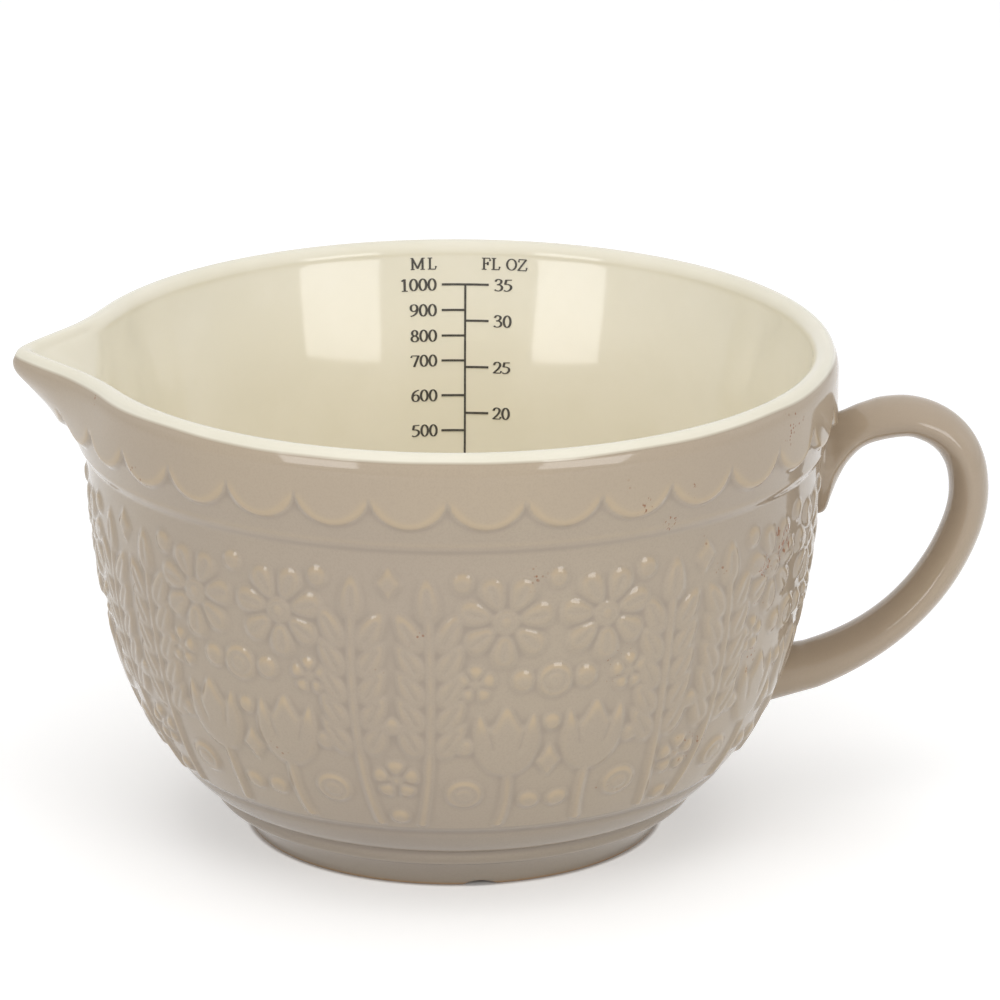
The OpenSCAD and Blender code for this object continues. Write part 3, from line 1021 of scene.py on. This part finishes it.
def stroke(path):
    """Left and right edges of one pen stroke."""
    p = np.array(path, float)
    d = unit(np.gradient(p, axis=0))
    n = np.stack([-d[:, 1], d[:, 0]], -1)
    half = np.hypot(NIB_W * n[:, 0], NIB_H * n[:, 1])[:, None]
    p[0] -= d[0] * NIB_OVERRUN
    p[-1] += d[-1] * NIB_OVERRUN
    return p + n * half, p - n * half


def on_wall(u, z, lift):
    r = inner_r(z) - lift
    az = SCALE_AZ - u / inner_r(MARK_TOP)
    return np.stack([r * np.cos(az), r * np.sin(az), z], -1)


def stroke_faces(base, n):
    """Top, sides and ends of a raised stroke with n points on each of its four edges."""
    faces = []
    for j in range(base, base + n - 1):
        a, b, c, d = j, j + n, j + 2 * n, j + 3 * n
        faces += [[a, a + 1, b + 1, b], [a, c, c + 1, a + 1], [b, b + 1, d + 1, d]]
    last = base + n - 1
    faces.append([base, base + n, base + 3 * n, base + 2 * n])
    faces.append([last + 2 * n, last + 3 * n, last + n, last])
    return faces


def build_text(name, lines):
    """lines holds (text, left edge, base height, size, width factor), in millimetres on the inner wall."""
    verts, faces = [], []
    for text, left, low, size, wide in lines:
        tall = size / GLYPH_H
        for c in text:
            width, strokes = GLYPHS[c]
            for path in strokes:
                edges = stroke(path)
                faces += stroke_faces(len(verts), len(path))
                for lift in (INK_T, 0.0):
                    for edge in edges:
                        u = left + edge[:, 0] * tall * wide
                        verts += on_wall(u, low + edge[:, 1] * tall, lift).tolist()
            left += width * tall * wide
    return new_object(name, verts, faces, smooth=False)


def mark_heights(count, upper, upper_gap, lower_gap):
    """Heights of the marks from the top down: a number of gaps of one size, then gaps of another."""
    return [MARK_TOP - upper_gap * min(i, upper) - lower_gap * max(i - upper, 0) for i in range(count)]


def figure(number, z, left):
    return (str(number), left, z - FIGURE / 2, FIGURE, FIGURE_WIDE)


def millilitre_lines():
    heights = mark_heights(count=10, upper=3, upper_gap=5.3, lower_gap=7.45)
    return [
        figure(number, z, ML_RIGHT - text_width(str(number), FIGURE, FIGURE_WIDE))
        for number, z in zip(range(1000, 0, -100), heights)
    ]


def fluid_ounce_lines():
    heights = mark_heights(count=7, upper=1, upper_gap=7.5, lower_gap=9.8)
    return [figure(number, z, OZ_LEFT) for number, z in zip(range(35, 0, -5), heights)]


def heading(text, middle):
    left = middle - text_width(text, LETTER, LETTER_WIDE) / 2
    return [(text, left, HEADING_Z, LETTER, LETTER_WIDE)]


# Shader nodes

class Tree:
    """Short forms for the shader nodes of one material or of the sky."""

    def __init__(self, node_tree):
        self.nodes = node_tree.nodes
        self.links = node_tree.links

    def feed(self, socket, value):
        """Link a socket to a node's output, or set it to a number or a colour."""
        if isinstance(value, bpy.types.NodeSocket):
            self.links.new(value, socket)
        elif isinstance(value, tuple):
            socket.default_value = (*value, 1)
        else:
            socket.default_value = value

    def add(self, kind, inputs, **settings):
        """A new node with its settings made and its inputs fed."""
        node = self.nodes.new("ShaderNode" + kind)
        for key, value in settings.items():
            setattr(node, key, value)
        for key, value in inputs.items():
            self.feed(node.inputs[key], value)
        return node

    def coords(self):
        return self.add("TexCoord", {}).outputs["Object"]

    def height(self, coords):
        return self.add("SeparateXYZ", {"Vector": coords}).outputs["Z"]

    def attribute(self, name):
        return self.add("Attribute", {}, attribute_name=name).outputs["Fac"]

    def mix(self, factor, a, b):
        return self.add("Mix", {"Factor": factor, 6: a, 7: b}, data_type="RGBA").outputs[2]

    def ramp(self, value, lo, hi, out_lo=0.0, out_hi=1.0):
        """A smooth step of a value from lo to hi."""
        ends = {"Value": value, "From Min": lo, "From Max": hi, "To Min": out_lo, "To Max": out_hi}
        return self.add("MapRange", ends, interpolation_type="SMOOTHSTEP").outputs["Result"]

    def noise(self, coords, scale, detail=2.0, rough=0.5):
        inputs = {"Vector": coords, "Scale": scale, "Detail": detail, "Roughness": rough}
        return self.add("TexNoise", inputs).outputs["Fac"]

    def cells(self, coords, scale):
        return self.add("TexVoronoi", {"Vector": coords, "Scale": scale}).outputs["Distance"]

    def combine(self, operation, a, b):
        return self.add("Math", {0: a, 1: b}, operation=operation).outputs[0]

    def distance(self, coords, point):
        away = [c * MM for c in point]
        return self.add("VectorMath", {0: coords, 1: away}, operation="DISTANCE").outputs["Value"]

    def stretched(self, coords, factors):
        return self.add("VectorMath", {0: coords, 1: factors}, operation="MULTIPLY").outputs["Vector"]

    def surface(self, colour, rough):
        node = self.nodes["Principled BSDF"]
        for key, value in (("Base Color", colour), ("Roughness", rough), ("IOR", GLAZE_IOR)):
            self.feed(node.inputs[key], value)
        return node

    def glaze(self, colour, coords, wave_scale, wave_strength):
        """A glossy surface with faint waves."""
        waves = self.noise(coords, wave_scale)
        inputs = {"Strength": wave_strength, "Distance": WAVE_HEIGHT, "Height": waves}
        normal = self.add("Bump", inputs).outputs["Normal"]
        self.feed(self.surface(colour, GLAZE_ROUGH).inputs["Normal"], normal)


def new_material(name):
    mat = bpy.data.materials.new(name)
    mat.use_nodes = True
    return mat, Tree(mat.node_tree)


# Materials: colours, and rust marks as (place in millimetres, reach, how much denser than elsewhere)

GLAZE_ROUGH = 0.07
GLAZE_IOR = 1.5
WAVE_HEIGHT = 0.0004
INK_ROUGH = 0.25
WALL_TAUPE = (0.447, 0.368, 0.281)
HANDLE_TAUPE = (0.455, 0.361, 0.262)
# Painted shade: the foot's glaze is a darker copy of the wall's.
FOOT_SHADED_TAUPE = (0.396, 0.331, 0.262)
SLIP_TAUPE = (0.427, 0.340, 0.248)
BARE_CLAY = (0.40, 0.27, 0.16)
RUST = (0.30, 0.145, 0.075)
LOW_CREAM_SHADED = ((0.815, 0.745, 0.564), (0.845, 0.775, 0.600))
HIGH_CREAM = ((0.840, 0.795, 0.655), (0.870, 0.825, 0.692))
BROWN_LINE = (0.40, 0.31, 0.21)
CREAM_SPECK = (0.50, 0.40, 0.26)
INK = ((0.06, 0.056, 0.05), (0.095, 0.088, 0.078))
RUST_SPOTS = (
    ((62.4, -37.6, 69.5), 8.0, 0.14),
    ((58.4, -43.0, 65.8), 5.5, 0.13),
    ((57.3, -43.3, 59.1), 4.0, 0.10),
    ((42.6, -64.0, 88.2), 4.0, 0.08),
    ((38.3, -64.5, 82.6), 4.0, 0.08),
    ((33.3, -69.2, 87.3), 4.0, 0.07),
    ((28.6, -65.4, 54.0), 8.0, 0.05),
    ((43.8, -49.9, 31.0), 9.0, 0.06),
    ((27.7, -58.1, 26.0), 7.0, 0.05),
)
RUST_LEVEL = 0.655
RUST_FADE = 0.08
RUST_SOFT = 0.035
RUST_CORE = 0.15
RUST_FULL = 0.8


def rust_marks(tree, coords):
    """Stray dots all over, and torn marks that thin out away from the spots."""
    dot = tree.ramp(tree.cells(coords, 900), 0.3, 0.18)
    stray = tree.ramp(tree.noise(coords, 60), 0.69, 0.75)
    rust = tree.combine("MULTIPLY", dot, stray)
    torn = tree.noise(tree.stretched(coords, [1, 1, 0.6]), scale=1100, detail=5, rough=0.7)
    for point, reach, boost in RUST_SPOTS:
        away = tree.distance(coords, point)
        far = reach * MM
        level = tree.ramp(away, RUST_CORE * far, far, RUST_LEVEL - boost, RUST_LEVEL + RUST_FADE)
        over = tree.ramp(tree.combine("SUBTRACT", torn, level), 0.0, RUST_SOFT)
        mark = tree.combine("MULTIPLY", tree.ramp(away, far, RUST_FULL * far), over)
        rust = tree.combine("MAXIMUM", rust, mark)
    return rust


def taupe_glaze(name, base, grainy, rusty=False, bare=False):
    """The outer glaze: cloudy and grainy, darker and paler by its edge tone, which holds pooled and thin
    glaze as well as painted shade and painted highlights.
    """
    mat, tree = new_material(name)
    coords = tree.coords()
    edge = tree.attribute("edge")

    def shade(r, g, b):
        return (base[0] * r, base[1] * g, base[2] * b)

    cloud = tree.ramp(tree.noise(coords, 16), 0.35, 0.68)
    colour = tree.mix(cloud, shade(0.97, 0.97, 0.985), shade(1.02, 1.02, 1.0))
    grain = tree.ramp(tree.noise(coords, 2400, rough=0.6), 0.4, 0.7, 0, grainy)
    colour = tree.mix(grain, colour, shade(0.87, 0.87, 0.88))
    # Darker where the edge tone is low: pooled glaze and painted shade.
    darker_tone = tree.ramp(edge, 0.0, -0.9, 0, 0.75)
    colour = tree.mix(darker_tone, colour, shade(0.80, 0.80, 0.83))
    # Paler where it is high: thin glaze and painted highlights.
    tone = tree.ramp(edge, 0.08, 0.95, 0, 0.8)
    colour = tree.mix(tone, colour, shade(1.24, 1.15, 0.95))
    if rusty:
        colour = tree.mix(rust_marks(tree, coords), colour, RUST)
    if bare:
        clay = tree.ramp(tree.height(coords), 0.9 * MM, 0.3 * MM)
        colour = tree.mix(clay, colour, BARE_CLAY)
    tree.glaze(colour, coords, wave_scale=260, wave_strength=0.05)
    return mat


def cream_glaze():
    """The lining: darker and yellower towards the bottom as painted shade, with a brown line at its border
    and a few specks.
    """
    mat, tree = new_material("cream_glaze")
    coords = tree.coords()
    mottle = tree.ramp(tree.noise(coords, 40, detail=4, rough=0.6), 0.35, 0.7)
    darker_tone = tree.mix(mottle, *LOW_CREAM_SHADED)
    tone = tree.mix(mottle, *HIGH_CREAM)
    # Painted shade: the lower lining is darker and yellower.
    colour = tree.mix(tree.ramp(tree.height(coords), 60 * MM, 97 * MM), darker_tone, tone)
    brown = tree.ramp(tree.attribute("rim_edge"), 0.80, 1.0, 0, 0.7)
    colour = tree.mix(brown, colour, BROWN_LINE)
    dot = tree.ramp(tree.cells(coords, 260), 0.12, 0.05)
    where = tree.ramp(tree.noise(coords, 22), 0.72, 0.78)
    colour = tree.mix(tree.combine("MULTIPLY", dot, where), colour, CREAM_SPECK)
    tree.glaze(colour, coords, wave_scale=160, wave_strength=0.03)
    return mat


def fired_ink():
    mat, tree = new_material("fired_ink")
    grain = tree.ramp(tree.noise(tree.coords(), 900, detail=3, rough=0.6), 0.3, 0.75)
    tree.surface(tree.mix(grain, *INK), INK_ROUGH)
    return mat


# Put the pieces together

def finish_with(obj, mat):
    obj.data.materials.clear()
    obj.data.materials.append(mat)


def add_piece(obj, mat, slot, *nodes):
    finish_with(obj, mat)
    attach(obj, "root")
    if nodes:
        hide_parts(*nodes)


def add_bowl():
    body_glaze = taupe_glaze("taupe_glaze", WALL_TAUPE, grainy=0.4, rusty=True)
    foot_glaze = taupe_glaze("taupe_glaze_foot_shaded", FOOT_SHADED_TAUPE, grainy=0.35, bare=True)
    for piece in build_wall() + [build_collar()]:
        add_piece(piece, body_glaze, "taupe_glaze", "bowl_body")
    add_piece(build_foot(), foot_glaze, "taupe_glaze", "bowl_body")
    add_piece(build_lining(), cream_glaze(), "cream_glaze", "inner_glaze")


def add_handle():
    handle_glaze = taupe_glaze("taupe_glaze_handle", HANDLE_TAUPE, grainy=0.15)
    slip_glaze = taupe_glaze("slip_glaze", SLIP_TAUPE, grainy=0.15)
    rings = handle_rings()
    add_piece(build_handle(rings), handle_glaze, "taupe_glaze", "handle")
    for end, near in (("upper", rings[:FILLET_RINGS]), ("lower", rings[:-FILLET_RINGS:-1])):
        fillet = build_fillet(end + "_slip_fillet", near)
        add_piece(fillet, slip_glaze, "glazed_slip", end + "_slip_joint")


def add_scale():
    ink = fired_ink()
    words = (
        ("millilitre_figures", millilitre_lines()),
        ("fluid_ounce_figures", fluid_ounce_lines()),
        ("millilitre_heading", heading("ML", ML_MIDDLE)),
        ("fluid_ounce_heading", heading("FL OZ", OZ_MIDDLE)),
    )
    for name, lines in words:
        add_piece(build_text(name, lines), ink, "fired_ink")
    for name in ("scale_line", "millilitre_ticks", "fluid_ounce_ticks"):
        finish_with(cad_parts[name], ink)


add_bowl()
add_handle()
add_scale()


# Camera

TURN = radians(-3)
DIST = 1426.86
ELEV = radians(20.4972)
PITCH = radians(17.9481)
YAW = radians(0.3977)
ROLL = radians(0.0706)
LENS = 252
SENSOR = 36


def make_camera():
    place = DIST * Vector((0, -cos(ELEV), sin(ELEV)))
    ahead = cos(PITCH)
    look = Vector((sin(YAW) * ahead, cos(YAW) * ahead, -sin(PITCH)))
    level = look.cross(Vector((0, 0, 1))).normalized()
    upright = level.cross(look)
    right = cos(ROLL) * level + sin(ROLL) * upright
    up = cos(ROLL) * upright - sin(ROLL) * level
    pose = Matrix((right, up, -look)).transposed().to_4x4()
    pose.translation = place * MM
    data = bpy.data.cameras.new("camera")
    data.sensor_width = SENSOR
    data.lens = LENS
    data.clip_start = 0.05
    data.clip_end = 20
    cam = linked("camera", data)
    cam.matrix_world = Matrix.Rotation(TURN, 4, "Z") @ pose
    bpy.context.scene.camera = cam


make_camera()


# Floor, sky and lamps

FLOOR_HALF = 3000
FLOOR_GREY = (0.90, 0.90, 0.90)
FLOOR_ROUGH = 0.9
FLOOR_GLOW = 0.35
WHITE = (1, 1, 1)
SKY_LIGHT = 0.38
LAMP_TARGET = Vector((0, 0, 70))


def seen_rays(tree):
    """1 for camera, mirror and see-through rays, else 0."""
    path = tree.add("LightPath", {}).outputs
    seen = tree.combine("MAXIMUM", path["Is Camera Ray"], path["Is Glossy Ray"])
    return tree.combine("MAXIMUM", seen, path["Is Transmission Ray"])


def make_floor():
    """A pale floor that keeps its shadow, with a glow for seen rays that brings it near white. The glow
    stops at the foot's edge, so the floor under the bowl, seen through the drain notches, stays darker: a
    painted shade.
    """
    f = FLOOR_HALF
    floor = new_object("floor", [(-f, -f, 0), (f, -f, 0), (f, f, 0), (-f, f, 0)], [[0, 1, 2, 3]])
    mat, tree = new_material("floor_white")
    matt = tree.surface(FLOOR_GREY, FLOOR_ROUGH)
    tree.feed(matt.inputs["Specular IOR Level"], 0.0)
    away = tree.distance(tree.coords(), (0, 0, 0))
    # Painted shade: no glow under the bowl, so the drain notches show dark.
    glow_outside_foot = tree.ramp(away, FOOT_R * MM, (FOOT_R + 1) * MM, 0, FLOOR_GLOW)
    strength = tree.combine("MULTIPLY", seen_rays(tree), glow_outside_foot)
    glow = tree.add("Emission", {"Color": WHITE, "Strength": strength})
    both = tree.add("AddShader", {0: matt.outputs[0], 1: glow.outputs[0]})
    tree.feed(tree.nodes["Material Output"].inputs["Surface"], both.outputs[0])
    finish_with(floor, mat)


def make_sky():
    """White where it is seen, and a weaker light on the scene."""
    world = bpy.data.worlds.new("studio")
    world.use_nodes = True
    tree = Tree(world.node_tree)
    sky = tree.nodes["Background"]
    tree.feed(sky.inputs["Color"], WHITE)
    tree.feed(sky.inputs["Strength"], tree.ramp(seen_rays(tree), 0, 1, SKY_LIGHT, 1))
    bpy.context.scene.world = world


def add_lamp(name, az, el, dist, width, height, radiance, roll=0.0, mirrored=True):
    """A softbox seen from the bowl at an azimuth (0 in front, positive to the right) and an elevation."""
    a, e = radians(az), radians(el)
    away = Vector((sin(a) * cos(e), -cos(a) * cos(e), sin(e)))
    data = bpy.data.lights.new(name, "AREA")
    data.shape = "RECTANGLE"
    data.size = width * MM
    data.size_y = height * MM
    data.energy = radiance * pi * data.size * data.size_y
    lamp = linked(name, data)
    lamp.location = (LAMP_TARGET + dist * away) * MM
    aim = (-away).to_track_quat("-Z", "Y").to_matrix() @ Matrix.Rotation(radians(roll), 3, "Z")
    lamp.rotation_euler = aim.to_euler()
    lamp.visible_glossy = mirrored


make_floor()
make_sky()
add_lamp("softbox_right", az=35.5, el=18.4, dist=1200, width=545, height=490, radiance=3.6, roll=-13.5)
add_lamp("softbox_left", az=-42.5, el=18.9, dist=1200, width=475, height=490, radiance=3.8, roll=11)
add_lamp("softbox_top", az=0, el=88, dist=1500, width=1400, height=1200, radiance=1.2, mirrored=False)
add_lamp("softbox_front", az=0, el=60, dist=1500, width=1200, height=900, radiance=0.9, mirrored=False)
add_lamp("softbox_back", az=180, el=55, dist=1500, width=1400, height=900, radiance=0.65, mirrored=False)
for side, az in (("right", 95), ("left", -95)):
    add_lamp("card_" + side, az, el=19, dist=1200, width=500, height=500, radiance=0.25)

bpy.context.scene.view_settings.view_transform = "Standard"
